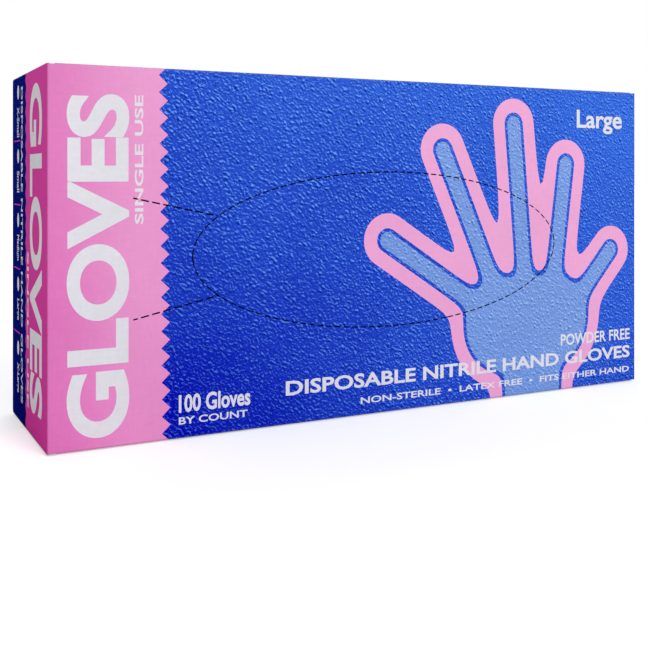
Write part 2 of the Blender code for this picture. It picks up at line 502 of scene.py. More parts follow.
NUMBER = "NodeSocketFloat"
VECTOR = "NodeSocketVector"
PEBBLE_SWAY = (0.0011, 0.0011, 0.0011)
PEBBLE_STEP = (0.00026, 0.0, 0.00006)


def pebble_group():
    """Grain like pressed leather, lit from one side: scattered round bumps, less the same bumps a
    little further on. It is printed, so it only changes the colour."""
    inputs = [
        ("Grains per Metre", NUMBER, 700.0), ("Stretch", NUMBER, 1.3), ("Relief", NUMBER, 1.0)
    ]
    group, given, out = new_group("pebble print", "ShaderNodeTree", inputs, [("Light", NUMBER)])
    where = object_place(group)
    sway = {"Vector": where, "Scale": 420.0, "Detail": 1.0}
    sway = add(group, "ShaderNodeTexNoise", sway).outputs["Color"]
    swayed = vector_node(group, "ADD", where, vector_node(group, "MULTIPLY", sway, PEBBLE_SWAY))
    turn = {"Vector": swayed, "Rotation": (0.0, math.radians(50), 0.0)}
    turned = add(group, "ShaderNodeMapping", turn).outputs[0]
    squeeze = math_node(group, "DIVIDE", 1.0, given.outputs["Stretch"])
    scale = add(group, "ShaderNodeCombineXYZ", {0: 1.0, 1: 1.0, 2: squeeze}).outputs[0]
    drawn = vector_node(group, "MULTIPLY", turned, scale)
    heights = []
    for place in (drawn, vector_node(group, "ADD", drawn, PEBBLE_STEP)):
        cells = add(group, "ShaderNodeTexVoronoi", {"Vector": place, "Scale": given.outputs[0]})
        bump = remap(group, cells.outputs["Distance"], 0.52, 0.0)
        size = add(group, "ShaderNodeSeparateColor", {0: cells.outputs["Color"]}).outputs[0]
        bump = math_node(group, "MULTIPLY", bump, remap(group, size, 0.05, 1.0, 0.22, 1.0))
        fine = math_node(group, "MULTIPLY", noise_at(group, place, 1350.0, 1.5), 1.7)
        heights.append(math_node(group, "ADD", bump, fine))
    slope = math_node(group, "SUBTRACT", *heights)
    light = math_node(group, "MULTIPLY", slope, given.outputs["Relief"])
    group.links.new(math_node(group, "ADD", light, 0.5, clamp=True), out.inputs[0])
    return group


def fibre_group():
    """Paper fibres: fine streaks two ways and a slow cloud, as a tone and a height."""
    inputs = [("Fibres per Metre", NUMBER, 900.0)]
    outputs = [("Tone", NUMBER), ("Height", NUMBER)]
    group, given, out = new_group("paper fibre", "ShaderNodeTree", inputs, outputs)
    where = object_place(group)
    streaks = []
    for number, size in enumerate(((1.0, 0.25, 0.25), (0.25, 0.25, 1.0))):
        inputs = {"Vector": where, "Scale": size, "Location": (number * 0.37, 0, 0)}
        drawn = add(group, "ShaderNodeMapping", inputs).outputs[0]
        streaks.append(noise_at(group, drawn, given.outputs[0], 4.0, Roughness=0.6))
    height = math_node(group, "MULTIPLY", *streaks)
    cloud = math_node(group, "MULTIPLY", noise_at(group, where, 38.0, 3.0), 0.5)
    tone = math_node(group, "ADD", height, cloud)
    group.links.new(tone, out.inputs["Tone"])
    group.links.new(height, out.inputs["Height"])
    return group


def wear_group():
    """Ink rubbed off along the carton's folds: how near the nearest fold is, broken up by noise."""
    inputs = [("Half Size", VECTOR, None), ("Reach", NUMBER, 0.0009), ("Amount", NUMBER, 1.0)]
    group, given, out = new_group("fold wear", "ShaderNodeTree", inputs, [("Mask", NUMBER)])
    where = object_place(group)
    centred = vector_node(group, "ADD", where, (0.0, 0.0, -HEIGHT / 2 * MM))
    size = vector_node(group, "ABSOLUTE", centred)
    gaps = vector_node(group, "SUBTRACT", given.outputs["Half Size"], size)
    x, y, z = add(group, "ShaderNodeSeparateXYZ", {0: gaps}).outputs
    least = math_node(group, "MINIMUM", x, y)
    most = math_node(group, "MINIMUM", math_node(group, "MAXIMUM", x, y), z)
    nearest = math_node(group, "MAXIMUM", least, most)
    near = remap(group, nearest, 0.0, given.outputs["Reach"], 1.0, 0.0)
    broken = remap(group, noise_at(group, where, 900.0, 3.0, Roughness=0.7), 0.42, 0.62)
    mask = math_node(group, "MULTIPLY", near, broken)
    amount = math_node(group, "MULTIPLY", mask, given.outputs["Amount"], clamp=True)
    group.links.new(amount, out.inputs[0])
    return group


PEBBLE, FIBRE, WEAR = pebble_group(), fibre_group(), wear_group()
BARE_BOARD = (0.30, 0.26, 0.23, 1)
MATERIALS = {}


def start_material(name, roughness, specular):
    material = bpy.data.materials.new(name)
    material.use_nodes = True
    tree = material.node_tree
    shader = tree.nodes["Principled BSDF"]
    shader.inputs["Roughness"].default_value = roughness
    shader.inputs["Specular IOR Level"].default_value = specular
    MATERIALS[name] = material
    return tree, shader


def place_group(tree, group, **values):
    node = add(tree, "ShaderNodeGroup", node_tree=group)
    for key, value in values.items():
        node.inputs[key.replace("_", " ")].default_value = value
    return node


def finish_surface(tree, shader, colour, height, distance, strength):
    tree.links.new(colour, shader.inputs["Base Color"])
    bump = {"Height": height, "Strength": strength, "Distance": distance}
    tree.links.new(add(tree, "ShaderNodeBump", bump).outputs[0], shader.inputs["Normal"])


def printed(
    name, low, high, across=(-130.0, 130.0), upright=0.65, grain=0.0, light=None, dark=None,
    gloss=0.08,
):
    """Ink and varnish on board. The colour runs from low to high, upright of it up the carton and
    the rest over the part of its width that across gives. grain is how strong the pebble is."""
    tree, shader = start_material(name, 0.42, gloss)
    where = object_place(tree)
    x, _, z = add(tree, "ShaderNodeSeparateXYZ", {0: where}).outputs
    up = math_node(tree, "MULTIPLY", z, 1 / (HEIGHT * MM))
    cloud = math_node(tree, "SUBTRACT", noise_at(tree, where, 16.0, 2.0), 0.5)
    cloud = math_node(tree, "MULTIPLY", cloud, 0.5)
    sideways = remap(tree, x, across[0] * MM, across[1] * MM)
    ramp = add(tree, "ShaderNodeMix", {0: upright, 2: sideways, 3: up}).outputs[0]
    share = math_node(tree, "ADD", ramp, cloud, clamp=True)
    colour = mix_colour(tree, share, (*low, 1), (*high, 1))
    if grain:
        pebble = place_group(tree, PEBBLE).outputs[0]
        shade = math_node(tree, "MULTIPLY", remap(tree, pebble, 0.47, 0.05), grain)
        colour = mix_colour(tree, shade, colour, (*dark, 1))
        shine = math_node(tree, "MULTIPLY", remap(tree, pebble, 0.565, 0.85), grain)
        shine = math_node(tree, "MULTIPLY", shine, remap(tree, share, 0.0, 0.6, 0.4, 1.0))
        colour = mix_colour(tree, shine, colour, (*light, 1))
    fibre = place_group(tree, FIBRE)
    tone = remap(tree, fibre.outputs["Tone"], 0.2, 0.9, 0.93, 1.05)
    colour = mix_colour(tree, 1.0, colour, tone, "MULTIPLY")
    rubbed = place_group(tree, WEAR, Amount=0.5, Half_Size=HALF_SIZE).outputs[0]
    colour = mix_colour(tree, rubbed, colour, BARE_BOARD)
    tree.links.new(remap(tree, cloud, -0.2, 0.2, 0.36, 0.48), shader.inputs["Roughness"])
    finish_surface(tree, shader, colour, fibre.outputs["Height"], 0.00008, 0.25)


def bare(name, dark, light, speck, roughness=0.85, distance=0.0002, specks=0.0):
    """Unprinted board: pulp fibres, a cloudy tone and, where it is recycled, coloured specks."""
    tree, shader = start_material(name, roughness, 0.15)
    fibre = place_group(tree, FIBRE, Fibres_per_Metre=1400.0)
    share = remap(tree, fibre.outputs["Tone"], 0.3, 0.75)
    colour = mix_colour(tree, share, (*dark, 1), (*light, 1))
    spread = {"Vector": object_place(tree), "Scale": 420.0}
    cells = add(tree, "ShaderNodeTexVoronoi", spread)
    spots = math_node(tree, "MULTIPLY", remap(tree, cells.outputs[0], 0.18, 0.06), specks)
    colour = mix_colour(tree, spots, colour, (*speck, 1))
    finish_surface(tree, shader, colour, fibre.outputs["Height"], distance, 0.5)


HALF_SIZE = (HALF_WIDTH * MM, HALF_DEPTH * MM, HEIGHT / 2 * MM)
BLUE_GRAIN = {"grain": 0.9, "light": (0.15, 0.39, 1.0), "dark": (0.0, 0.012, 0.26), "gloss": 0.03}
printed("printed_blue", (0.0, 0.0, 0.44), (0.034, 0.145, 0.77), upright=0.52, **BLUE_GRAIN)
printed("printed_pink", (0.74, 0.165, 0.49), (0.85, 0.345, 0.64), (-122.0, -88.0), 0.3)
printed("printed_white", (0.74, 0.73, 0.78), (0.80, 0.79, 0.84))
printed("printed_rose", (0.84, 0.35, 0.64), (0.90, 0.43, 0.70))
PALE_GRAIN = {"grain": 0.8, "light": (0.42, 0.64, 1.0), "dark": (0.035, 0.13, 0.50)}
printed("printed_pale", (0.14, 0.28, 0.69), (0.22, 0.36, 0.79), **PALE_GRAIN)
printed("printed_magenta", (0.69, 0.052, 0.35), (0.78, 0.085, 0.42), gloss=0.0)
NAVY_GRAIN = {"grain": 0.5, "light": (0.02, 0.06, 0.42), "dark": (0.0, 0.003, 0.07)}
printed("printed_navy", (0.001, 0.004, 0.15), (0.003, 0.009, 0.21), **NAVY_GRAIN, gloss=0.0)
bare("board_back", (0.40, 0.385, 0.36), (0.56, 0.545, 0.52), (0.22, 0.23, 0.27), specks=0.7)
bare("board_edge", (0.36, 0.33, 0.29), (0.58, 0.54, 0.48), (0.25, 0.22, 0.2), specks=0.4)
# Painted shade: the slit walls are nearly black to stand for the shadow inside the slits, not a
# colour of the board.
bare("slit_wall_painted_shade", (0.012, 0.011, 0.016), (0.05, 0.045, 0.05), (0.08, 0.07, 0.07))
bare("board_coat", (0.72, 0.72, 0.71), (0.80, 0.80, 0.79), (0.6, 0.6, 0.58), 0.6, 0.00006, 0.15)


def glove_film():
    """Thin dyed glove film: a satin skin with a fine texture, paler where it is stretched thin."""
    tree, shader = start_material("nitrile_film", 0.36, 0.4)
    where = object_place(tree)
    height = noise_at(tree, where, 1500.0, 2.0)
    cloud = noise_at(tree, where, 45.0, 4.0)
    thin = remap(tree, cloud, 0.3, 0.75)
    colour = mix_colour(tree, thin, (0.055, 0.022, 0.34, 1), (0.105, 0.055, 0.50, 1))
    tree.links.new(remap(tree, cloud, 0.3, 0.7, 0.3, 0.46), shader.inputs["Roughness"])
    shader.inputs["Subsurface Weight"].default_value = 0.15
    shader.inputs["Subsurface Radius"].default_value = (0.0006, 0.0003, 0.0012)
    finish_surface(tree, shader, colour, height, 0.00006, 0.35)


def hot_melt():
    """Hot-melt glue: waxy and amber, with drag marks."""
    tree, shader = start_material("glue", 0.3, 0.5)
    streak = noise_at(tree, object_place(tree), 260.0, 3.0, Distortion=0.6)
    amber = mix_colour(tree, streak, (0.62, 0.50, 0.28, 1), (0.86, 0.80, 0.62, 1))
    tree.links.new(remap(tree, streak, 0.3, 0.7, 0.22, 0.42), shader.inputs["Roughness"])
    shader.inputs["Subsurface Weight"].default_value = 0.3
    shader.inputs["Subsurface Radius"].default_value = (0.001, 0.0008, 0.0005)
    finish_surface(tree, shader, amber, streak, 0.0002, 0.5)


glove_film()
hot_melt()


# ---------------------------------------------------------------- printed artwork
TEETH_PITCH = 5.5
OVERRUN = 6.0  # how far the bands and their teeth run past a panel


def band(v_low, v_high, u_low=-125.0, edge=-83.3, tooth=2.9, lean=0.0):
    """A band of colour with a saw-tooth border on its right, which leans by so much over its
    height."""
    v_low, v_high = v_low - OVERRUN, v_high + OVERRUN
    border = []
    for k in range(math.ceil((v_high - v_low) / TEETH_PITCH) * 2 + 1):
        v = v_low + k * TEETH_PITCH / 2 + 0.01
        border.append((edge + tooth / 2 * (-1) ** k + lean * (0.5 - v / HEIGHT), v))
    return closed([(u_low, v_low), *border, (u_low, border[-1][1])])


def pink_band(v_low, v_high, lean=0.0):
    return (band(v_low, v_high, lean=lean), "printed_pink")


def capsule(u, v, start, end, radius):
    """How far points are from a round-ended bar."""
    run = np.array(end) - start
    share = ((u - start[0]) * run[0] + (v - start[1]) * run[1]) / (run @ run)
    share = np.clip(share, 0, 1)
    return np.hypot(u - start[0] - share * run[0], v - start[1] - share * run[1]) - radius


FINGER_RADIUS = 9.8
HAND_BARS = (  # the palm, the wrist, and the four fingers and thumb
    ((52.0, 28.0), (76.0, 28.0), 24.0), ((67.0, -60.0), (66.0, 20.0), 20.0),
    ((40.0, 36.0), (0.0, 62.0), FINGER_RADIUS), ((47.0, 44.0), (24.0, 95.0), FINGER_RADIUS),
    ((62.0, 48.0), (57.0, 105.5), FINGER_RADIUS), ((77.0, 46.0), (83.0, 90.0), FINGER_RADIUS),
    ((80.0, 26.0), (106.5, 55.0), FINGER_RADIUS),
)
WEBBING = 2.2  # how softly the fingers run into each other
HAND_AREA = (-10.0, 125.0, -85.0, 125.0)
HAND_LAYERS = ((0.0, "printed_rose"), (5.4, "printed_blue"), (6.7, "printed_pale"))


def open_hand(u, v):
    """How far points are outside a plain open hand."""
    return -WEBBING * np.log(sum(np.exp(-capsule(u, v, *bar) / WEBBING) for bar in HAND_BARS))


def hand_sign():
    """The hand as three layers: a thick outline, a thin gap inside it, and a pale filling."""
    layers = []
    for inset, finish in HAND_LAYERS:
        rim = contour(lambda u, v: open_hand(u, v) + inset, *HAND_AREA, 1.25)
        layers.append((rim, finish))
    return layers


def row(words, u_low, u_high, v_low, v_high, turn=0, weight=0.02):
    """A line of generic lettering that fills a box, as a layer. It runs along +u, or along +v when
    turn is 90, or along -v when turn is -90."""
    length, height = u_high - u_low, v_high - v_low
    if turn:
        length, height = height, length
    curve = bpy.data.curves.new("lettering", "FONT")
    curve.body = words
    curve.resolution_u = 10 if height >= LARGE_LETTERS else 3
    curve.offset = weight
    mesh = evaluated_mesh(new_object("lettering", curve))
    used = {}
    for polygon in mesh.polygons:
        for key in polygon.edge_keys:
            used[key] = used.get(key, 0) + 1
    place = np.array([corner.co[:2] for corner in mesh.vertices])
    points = np.array([place[end] for key, count in used.items() if count == 1 for end in key])
    bpy.data.meshes.remove(mesh)
    low, high = points.min(0), points.max(0)
    points = (points - low) / (high - low) * (length, height)
    if turn == 90:
        points = np.column_stack([height - points[:, 1], points[:, 0]])
    elif turn == -90:
        points = np.column_stack([points[:, 1], length - points[:, 0]])
    return ((points + (u_low, v_low)).reshape(-1, 4), "printed_white")


def front_art():
    return [
        pink_band(0.0, HEIGHT, 1.1),
        *hand_sign(),
        row("GLOVES", -114.6, -95.0, 3.5, 111.0, 90, 0.035),
        row("SINGLE USE", -93.2, -90.4, 70.0, 111.0, turn=90),
        row("100 Gloves", -78.6, -53.5, 8.3, 14.2, weight=0.028),
        row("BY COUNT", -78.6, -54.5, 4.5, 6.9),
        row("DISPOSABLE NITRILE HAND GLOVES", -40.4, 117.4, 9.9, 15.0, weight=0.026),
        row("POWDER FREE", 80.5, 117.4, 17.4, 22.0),
        row("NON-STERILE  •  LATEX FREE  •  FITS EITHER HAND", -11.0, 117.0, 4.0, 6.4),
        row("Large", 88.8, 113.0, 102.4, 112.0),
    ]


FRONT_ART = front_art()


def back_art():
    return [
        pink_band(0.0, HEIGHT),
        row("GLOVES", -115.0, -95.3, 4.0, 110.0, 90, 0.035),
        row("SINGLE USE", -93.8, -90.4, 72.0, 111.0, turn=90),
        row("NITRILE GLOVES", -62.0, 98.0, 72.0, 88.0),
        row("POWDER FREE  •  LATEX FREE", -62.0, 98.0, 56.0, 62.0),
        row("100 Gloves", -62.0, -20.0, 9.0, 17.0),
        row("Large", 82.0, 112.0, 9.0, 19.0),
    ]


def top_art():
    return [
        pink_band(-HALF_DEPTH, HALF_DEPTH),
        row("GLOVES", -113.0, -98.0, -24.0, 24.0, turn=90),
        row("NITRILE GLOVES", -58.0, 74.0, -8.0, 8.0),
        row("Large", 90.0, 112.0, -24.0, -15.0),
        row("100 Gloves", 84.0, 112.0, 16.0, 23.0),
    ]


def base_art():
    return [
        pink_band(-HALF_DEPTH, HALF_DEPTH),
        row("100 Gloves", -58.0, -22.0, -6.0, 4.0),
        row("NITRILE GLOVES", 20.0, 110.0, -5.0, 4.0),
    ]


END_SIZES = ("X-Small", "Small", "Medium", "Large", "X-Large")
SIZE_PITCH = 22.4
SIZE_START = 10.6
LETTER_WIDTH = 1.5


def end_box(side, u_low, u_high, start, end):
    """A box on an end panel: where it is across, from the back (-) to the front (+), and where it
    starts and ends as the lettering runs, down the left end and up the right end."""
    across = (u_low, u_high) if side < 0 else (-u_high, -u_low)
    along = (HEIGHT - end, HEIGHT - start) if side < 0 else (start, end)
    return (*across, *along)


def end_art(side):
    """An end's print, as a viewer facing it sees it: the front of the carton is on the left end's
    right and on the right end's left."""
    border = band(0.0, HEIGHT, -40.0, -4.6, 1.6) * (-side, 1, -side, 1)
    turn = 90 * side
    layers = [
        (border, "printed_navy"),
        row("GLOVES", *end_box(side, 2.8, 23.0, 4.8, 112.0), turn, 0.03),
        row("SINGLE USE", *end_box(side, -2.2, 0.6, 60.0, 112.0), turn),
        row("DISPOSABLE NITRILE HAND GLOVES", *end_box(side, -13.6, -10.5, 4.0, 113.0), turn),
    ]
    for number, size in enumerate(END_SIZES):
        start = number * SIZE_PITCH
        u_low, u_high, v_low, v_high = end_box(side, -21.2, -17.4, start + 2.9, start + 7.9)
        spot = ellipse((u_low + u_high) / 2, (v_low + v_high) / 2, 1.8, 2.5)
        layers.append((spot, "printed_white"))
        first = start + SIZE_START
        last = first + len(size) * LETTER_WIDTH
        layers.append(row(size, *end_box(side, -21.4, -17.2, first, last), turn))
        if number:
            rule = rectangle(*end_box(side, -27.5, -15.2, start - 0.2, start + 0.2))
            layers.append((rule, "printed_magenta"))
    return layers


# ---------------------------------------------------------------- the sleeve
def attach(piece, body, slot, *nodes):
    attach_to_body(piece, body)
    if nodes:
        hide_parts(*nodes)


def tab_line(u, way):
    """The height of the thumb tab's upper cut (way 1) or lower cut (way -1) at a place across."""
    junction = oval_point(-TAB_ARC_STEPS * way)
    root_height = OVAL_MIDDLE + way * TAB_HALF_HEIGHT
    share = (u - TAB_ROOT) / (junction[0] - TAB_ROOT)
    return root_height + share * (junction[1] - root_height)


def opening_outline():
    """The hole in the front panel: the oval and the tab beside it, half a slit larger all round."""
    arc = range(TAB_ARC_STEPS + 1, OVAL_STEPS - TAB_ARC_STEPS)
    points = [oval_point(step, -HALF_SLIT) for step in arc]
    junction = oval_point(TAB_ARC_STEPS)[0]
    for way in (1, -1):
        wall = [
            (junction, tab_line(junction, way) + way * HALF_SLIT * 1.2),
            (STRIP_LOW, tab_line(STRIP_LOW, way) + way * HALF_SLIT),
        ]
        points += wall[::way]
    return closed(points)


def front_outline():
    """The front panel's edge: it wraps onto the top and bottom except at its very ends."""
    loop = []
    for way_u, way_v in ((-1, -1), (1, -1), (1, 1), (-1, 1)):
        wrap = -CREASE_REACH if way_v < 0 else HEIGHT + CREASE_REACH
        short = FLAP_LOW if way_v < 0 else FLAP_HIGH
        side, level = way_u * SIDE_END, way_u * LEVEL_SIDE_END
        loop += [(side, short), (level, short), (level, wrap)][:: way_u * way_v]
    return closed(loop)


def build_front():
    """The front panel, and the oval cover and the thumb tab that are cut out of it."""

    def cut_piece(name, outline, base="printed_blue", lines=()):
        return board_piece(name, outline, front_place, base, FRONT_ART, lines=lines, cut=True)

    panel_outline = np.vstack([front_outline(), opening_outline()])
    panel = cut_piece("printed_front", panel_outline, lines=fold_lines(0.0, HEIGHT))
    attach(panel, "carton", "printed_board", "front_panel")
    oval = closed([oval_point(step, HALF_SLIT) for step in range(OVAL_STEPS)])
    attach(cut_piece("printed_oval_cover", oval), "tear_out", "printed_board", "tear_out_panel")

    arc = [oval_point(step, -HALF_SLIT) for step in range(1 - TAB_ARC_STEPS, TAB_ARC_STEPS)]
    junction = oval_point(TAB_ARC_STEPS)[0]
    lower, upper = (
        (junction - 2.6 * HALF_SLIT, tab_line(junction, way) - way * 0.5 * HALF_SLIT)
        for way in (-1, 1)
    )
    (low_start, low_root), (high_start, high_root) = (
        [(u, tab_line(u, way) - way * HALF_SLIT) for u in (STRIP_LOW, STRIP_HIGH)]
        for way in (-1, 1)
    )
    tab = cut_piece("printed_thumb_tab", closed([*arc, lower, low_root, high_root, upper]))
    attach(tab, "thumb_tab", "printed_board", "thumb_tab")
    bends = bend_lines(STRIP_LOW, STRIP_HIGH, low_start[1] - 1, high_start[1] + 1)
    strip_outline = closed([low_start, low_root, high_root, high_start])
    strip = cut_piece("thumb_tab_crease", strip_outline, "printed_pink", bends)
    start, end = ((u * MM, front_low[1] * MM, OVAL_MIDDLE * MM) for u in (STRIP_LOW, STRIP_HIGH))
    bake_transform(strip)
    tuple(start)
    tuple(end)


def seam_place(points, depth):
    return np.column_stack([-points[:, 0], np.full(len(points), SEAM_FACE - depth), points[:, 1]])


def build_sleeve():
    """The back, top and bottom panels and the glue flap."""

    def panel(name, outline, place, art, node, folds=()):
        piece = board_piece(name, outline, place, "printed_blue", art, lines=folds)
        attach(piece, "carton", "printed_board", node)

    level, side, upper = LEVEL_SIDE_END, BACK_SIDE_END, HEIGHT - 0.2
    back_outline = closed(
        [
            (-side, FLAP_LOW), (-level, FLAP_LOW), (-level, -CREASE_REACH), (level, -CREASE_REACH),
            (level, FLAP_LOW), (side, FLAP_LOW), (side, upper), (-side, upper),
        ]
    )
    panel("printed_back", back_outline, back_place, back_art(), "back_panel", fold_lines(0.0))
    front = -HALF_DEPTH + CREASE_REACH
    top_outline = rectangle(-level, level, front, SEAM_FACE + CREASE_REACH)
    panel("printed_top", top_outline, top_place, top_art(), "top_panel", fold_lines(SEAM_FACE))
    base_outline = rectangle(-level, level, front, -front)
    panel("printed_base", base_outline, bottom_place, base_art(), "bottom_panel")

    low, high = node_box("glue_flap")
    taper = (high[2] - low[2]) * 0.43
    top_edge = HEIGHT - CREASE_REACH
    flap_outline = rounded(
        [
            (-high[0] + taper, low[2], GLUE_CORNER), (high[0] - taper, low[2], GLUE_CORNER),
            (high[0], top_edge, 0), (-high[0], top_edge, 0),
        ]
    )
    flap = board_piece("glue_flap_board", flap_outline, seam_place, "board_coat", (), STRIP_GRID)
    attach(flap, "carton", "printed_board", "glue_flap")


# ---------------------------------------------------------------- the ends
def crease_strip(name, side, centre, level, along, span, base, layers=()):
    """A strip of board that bends round a fold, from a panel of the carton whose outward normal is
    level to a flap on the end. centre is the fold's middle, and the strip covers span along it."""
    centre, level, along = (np.array(v, float) for v in (centre, level, along))
    end = np.array([side, 0.0, 0.0])
    order = (level, end) if np.cross(level, end) @ along > 0 else (end, level)
    place = corner_place(centre, *order, along)
    outline = rectangle(0.0, CREASE_LENGTH, *span)
    bends = bend_lines(0.0, CREASE_LENGTH, *span)
    strip = board_piece(name, outline, place, base, layers, STRIP_GRID, bends)
    middle = centre + along * (sum(span) / 2)
    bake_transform(strip)


def side_flap(name, body, side, root, free, radius, face, base, layers, spacing=GRID):
    """A flap on an upright fold. root and free are where it starts and ends across the carton, and
    face is how far its printed side is from the carton's middle."""
    outline = rounded(
        [
            (side * root, FLAP_LOW, 0), (side * free, FLAP_LOW, radius),
            (side * free, FLAP_HIGH, radius), (side * root, FLAP_HIGH, 0),
        ]
    )
    flap = board_piece(name, outline, end_place(side, face), base, layers, spacing)
    attach(flap, body, "printed_board", f"{body}_flap")


def dust_flap(side_name, side, level, way):
    """A dust flap on the top (way 1) or the bottom (way -1), tapered towards its free end."""
    body = f"{side_name}_{level}_dust"
    root = HEIGHT - CREASE if way > 0 else CREASE
    corners = []
    for y, z in flat_outline(f"{body}_flap"):
        at_root = (root - z) * way < 2
        radius = DUST_CORNER if abs(z - root) > 10 else DUST_SHOULDER
        if at_root:
            radius = 0
        y = side * np.clip(y, -DUST_REACH, DUST_REACH)
        corners.append((y, root if at_root else z, radius))
    colour = "printed_pink" if side < 0 < way else "printed_blue"
    bleed = rectangle(-40, 40, *sorted((root, root - way * BLEED)))
    flap = board_piece(
        f"{body}_board", rounded(corners), end_place(side, LEVEL_END), "board_coat",
        [(bleed, colour)], FLAP_GRID,
    )
    attach(flap, body, "dust_board", f"{body}_flap")
    crease_strip(
        f"{body}_crease", side, (side * LEVEL_SIDE_END, 0, root), (0, 0, way), (0, 1, 0),
        (-DUST_REACH, DUST_REACH), colour,
    )


def build_end(side_name, side):
    """One end: the outer flap on the front panel, the inner flap on the back panel, and a dust flap
    on the top and on the bottom, each with the strip that bends at its fold."""
    front_y, back_y = -HALF_DEPTH + CREASE, HALF_DEPTH - CREASE
    upright, whole = (0, 0, 1), (FLAP_LOW, FLAP_HIGH)
    front_finish, back_finish = ("printed_pink", "printed_blue")[:: -side]

    body = f"{side_name}_outer"
    free = node_box(f"{body}_flap")[1][1]
    side_flap(
        f"{side_name}_printed_flap", body, side, front_y, free, OUTER_CORNER, HALF_WIDTH,
        "printed_magenta", end_art(side),
    )
    half = CREASE_LENGTH / 2
    turned = rectangle(*((-1, half) if side < 0 else (half, 3)), -200, 200)
    crease_strip(
        f"{body}_crease", side, (side * SIDE_END, front_y, 0), (0, -1, 0), upright, whole,
        front_finish, [(turned, "printed_magenta")],
    )

    # The inner flap is unprinted but for what bleeds over its fold.
    body = f"{side_name}_inner"
    free = node_box(f"{body}_flap")[0][1]
    bleed = rectangle(*sorted((side * back_y, side * (back_y - BLEED))), -1, HEIGHT + 1)
    side_flap(
        f"{body}_board", body, side, back_y, free, INNER_CORNER, BACK_END, "board_coat",
        [(bleed, back_finish)], FLAP_GRID,
    )
    crease_strip(
        f"{body}_crease", side, (side * BACK_SIDE_END, back_y, 0), (0, 1, 0), upright, whole,
        back_finish,
    )
    dust_flap(side_name, side, "top", 1)
    dust_flap(side_name, side, "bottom", -1)


# ---------------------------------------------------------------- perforation ties
def tie_tree():
    """Small blocks of board along a line, one every so often, that hold a perforated edge."""
    inputs = [
        ("Tear Line", "NodeSocketGeometry", None), ("Spacing", NUMBER, 0.0034),
        ("Tie Size", VECTOR, None), ("Board", "NodeSocketMaterial", None),
    ]
    outputs = [("Ties", "NodeSocketGeometry")]
    group, given, out = new_group("perforation ties", "GeometryNodeTree", inputs, outputs)
    curve = add(group, "GeometryNodeMeshToCurve", {0: given.outputs["Tear Line"]}).outputs[0]
    resample = {"Curve": curve, "Length": given.outputs["Spacing"]}
    stops = add(group, "GeometryNodeResampleCurve", resample, mode="LENGTH").outputs[0]
    tangent = add(group, "GeometryNodeInputTangent").outputs[0]
    turn = add(
        group, "FunctionNodeAlignRotationToVector", {"Vector": tangent}, axis="X", pivot_axis="Y"
    ).outputs[0]
    tie = add(group, "GeometryNodeMeshCube", {"Size": given.outputs["Tie Size"]}).outputs[0]
    placed = {"Points": stops, "Instance": tie, "Rotation": turn}
    ties = add(group, "GeometryNodeInstanceOnPoints", placed).outputs[0]
    real = add(group, "GeometryNodeRealizeInstances", {0: ties}).outputs[0]
    final = {"Geometry": real, "Material": given.outputs["Board"]}
    done = add(group, "GeometryNodeSetMaterial", final).outputs[0]
    group.links.new(done, out.inputs[0])
    return group


TIES = tie_tree()
TIE_PITCH = 3.4
TIE_LENGTH = 1.05
TIE_GRIP = 0.1  # how far a tie runs into the board, both sides together
TIE_SINK = 0.025


def tear_ties(name, points, body):
    """Ties along a tear line, finished like the print round each of them."""
    place = front_place(np.array(points), BOARD / 2 + TIE_SINK) * MM
    mesh = bpy.data.meshes.new(name)
    mesh.from_pydata(place.tolist(), [(k, k + 1) for k in range(len(place) - 1)], [])
    guide = new_object(name + "_line", mesh)
    modifier = guide.modifiers.new("ties", "NODES")
    modifier.node_group = TIES
    sockets = {s.name: s.identifier for s in TIES.interface.items_tree if s.in_out == "INPUT"}
    modifier[sockets["Spacing"]] = TIE_PITCH * MM
    modifier[sockets["Tie Size"]] = (TIE_LENGTH * MM, BOARD * MM, (SLIT + TIE_GRIP) * MM)
    modifier[sockets["Board"]] = MATERIALS["printed_blue"]
    made = evaluated_mesh(guide)
    made.name = name
    middles = np.array([polygon.center[:] for polygon in made.polygons])[:, [0, 2]] / MM
    names, finish = layered("printed_blue", FRONT_ART, middles)
    made.materials.clear()
    for layer in names:
        made.materials.append(MATERIALS[layer])
    made.polygons.foreach_set("material_index", finish.astype(np.int32))
    attach(new_object(name, made), body, "printed_board")


def build_ties():
    oval = [oval_point(step + 0.4) for step in range(OVAL_STEPS + 1)]
    tear_ties("oval_ties", oval, "tear_out")
    for name, way in (("tab_ties_upper", 1), ("tab_ties_lower", -1)):
        ends = (STRIP_HIGH + 0.8, oval_point(TAB_ARC_STEPS)[0] - 1.2)
        tear_ties(name, [(u, tab_line(u, way)) for u in np.linspace(*ends, 12)], "thumb_tab")


# ---------------------------------------------------------------- gloves and glue
GLOVES_IN_BUNDLE = 5
FILM_STEP = 8.0
FINE_FILM_STEP = 3.6
ROLL_OFF = 1.5  # how far in from its rim a glove reaches its full thickness
ASKEW = 0.35  # how far a glove may be turned, in degrees
UNEVEN = 0.5
LOOSE_GAP = 0.6
CUFF_EDGE = 115.7
FOLD_RADIUS = 1.3
FOLDED_HALF = 0.42
FOLDED_CREASES = (1.7, 0.7)
BEAD_RADIUS = 0.6
BEAD_ROWS = 40
BEAD_RING = 8


def rim_distance(outline, points):
    """How far points are inside a closed outline, negative outside."""
    nearest = np.full(len(points), 1e9)
    for u0, v0, u1, v1 in outline:
        run = np.array([u1 - u0, v1 - v0])
        share = np.clip(((points - (u0, v0)) @ run) / max(run @ run, 1e-9), 0, 1)
        gap = points - (u0, v0) - share[:, None] * run
        nearest = np.minimum(nearest, np.hypot(*gap.T))
    return np.where(inside(outline, points), nearest, -nearest)


